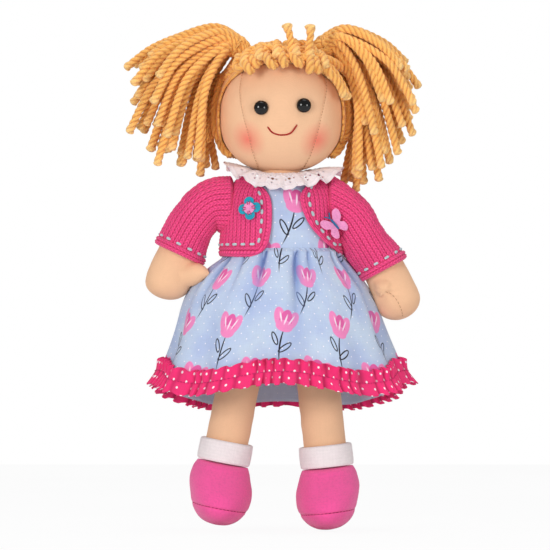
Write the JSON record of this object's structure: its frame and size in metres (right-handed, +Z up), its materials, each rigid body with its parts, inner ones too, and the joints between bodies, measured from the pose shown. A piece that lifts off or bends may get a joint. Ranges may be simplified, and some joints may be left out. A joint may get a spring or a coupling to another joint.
{
  "type": "rag doll",
  "caption": "stuffed rag doll with yarn hair in two bunches, flowered dress with a dotted frill, lace collar, knitted cardigan and soft booties",
  "frame": {"origin": "the middle of the waist, where a hand or a doll stand holds the doll", "axes": "+Z up to the head, -Y the way the face looks, +X the doll's own left"},
  "size_m": [0.208, 0.1354, 0.3506],
  "materials": {
    "skin_cotton": "fine matte cotton jersey",
    "hair_yarn": "soft twisted golden yarn",
    "hair_tie_yarn": "yarn wound round the bunch",
    "eye_black": "polished black plastic",
    "washer_plastic": "plain moulded plastic",
    "bootie_jersey": "matte pink jersey",
    "sock_jersey": "pale pink folded jersey",
    "dress_cotton": "printed cotton, periwinkle blue with pink blossoms and white dots",
    "ruffle_cotton": "hot pink cotton with white dots",
    "lace": "white eyelet lace",
    "cardigan_knit": "ribbed pink knit",
    "felt_teal": "felt",
    "felt_pink": "felt",
    "thread_blue": "embroidery thread"
  },
  "bodies": {
    "torso": {"torso": "skin_cotton", "bodice": "dress_cotton", "skirt": "dress_cotton", "hem_ruffle": "ruffle_cotton", "lace_collar": "lace", "cardigan_back": "cardigan_knit", "cardigan_front_right": "cardigan_knit", "cardigan_front_left": "cardigan_knit", "flower_petals": "felt_teal", "flower_centre": "felt_pink", "butterfly_wings": "felt_pink", "butterfly_body": "thread_blue"},
    "head": {"head": "skin_cotton", "eye_right": "eye_black", "eye_left": "eye_black", "eye_washer_right": "washer_plastic", "eye_washer_left": "washer_plastic", "hair_cap": "hair_yarn", "fringe": "hair_yarn"},
    "bunch_right": {"bunch_right": "hair_yarn", "hair_tie_right": "hair_tie_yarn"},
    "bunch_left": {"bunch_left": "hair_yarn", "hair_tie_left": "hair_tie_yarn"},
    "arm_right": {"arm_right": "skin_cotton", "sleeve_right": "cardigan_knit"},
    "arm_left": {"arm_left": "skin_cotton", "sleeve_left": "cardigan_knit"},
    "leg_right": {"leg_right": "skin_cotton", "bootie_right": "bootie_jersey", "sole_right": "bootie_jersey", "sock_band_right": "sock_jersey"},
    "leg_left": {"leg_left": "skin_cotton", "bootie_left": "bootie_jersey", "sole_left": "bootie_jersey", "sock_band_left": "sock_jersey"}
  },
  "joints": [
    {"name": "neck_nod", "type": "hinge", "parent": "torso", "child": "head", "pos_m": [0, 0, 0.053], "axis": [1, 0, 0], "range_deg": [-15, 15], "stiffness_Nm_per_rad": 0.2, "deforming": ["lace_collar"]},
    {"name": "bunch_right_lift", "type": "hinge", "parent": "head", "child": "bunch_right", "pos_m": [-0.0323, 0, 0.13206], "axis": [0, 1, 0], "range_deg": [0, 25]},
    {"name": "bunch_left_lift", "type": "hinge", "parent": "head", "child": "bunch_left", "pos_m": [0.0323, 0, 0.13206], "axis": [0, -1, 0], "range_deg": [0, 25]},
    {"name": "shoulder_right", "type": "hinge", "parent": "torso", "child": "arm_right", "pos_m": [-0.035, 0, 0.03], "axis": [-1, 0, 0], "range_deg": [-30, 90], "deforming": ["sleeve_right"]},
    {"name": "shoulder_left", "type": "hinge", "parent": "torso", "child": "arm_left", "pos_m": [0.035, 0, 0.03], "axis": [-1, 0, 0], "range_deg": [-30, 90], "deforming": ["sleeve_left"]},
    {"name": "hip_left", "type": "hinge", "parent": "torso", "child": "leg_left", "pos_m": [0.021, -0.001, -0.0502], "axis": [-1, 0, 0], "range_deg": [-8, 85], "deforming": ["skirt", "hem_ruffle"]},
    {"name": "hip_right", "type": "hinge", "parent": "torso", "child": "leg_right", "pos_m": [-0.021, -0.001, -0.0502], "axis": [-1, 0, 0], "range_deg": [-8, 85], "deforming": ["skirt", "hem_ruffle"]}
  ],
  "couplings": [
    {"joint": "hip_right", "follows": "hip_left", "ratio": 1}
  ]
}
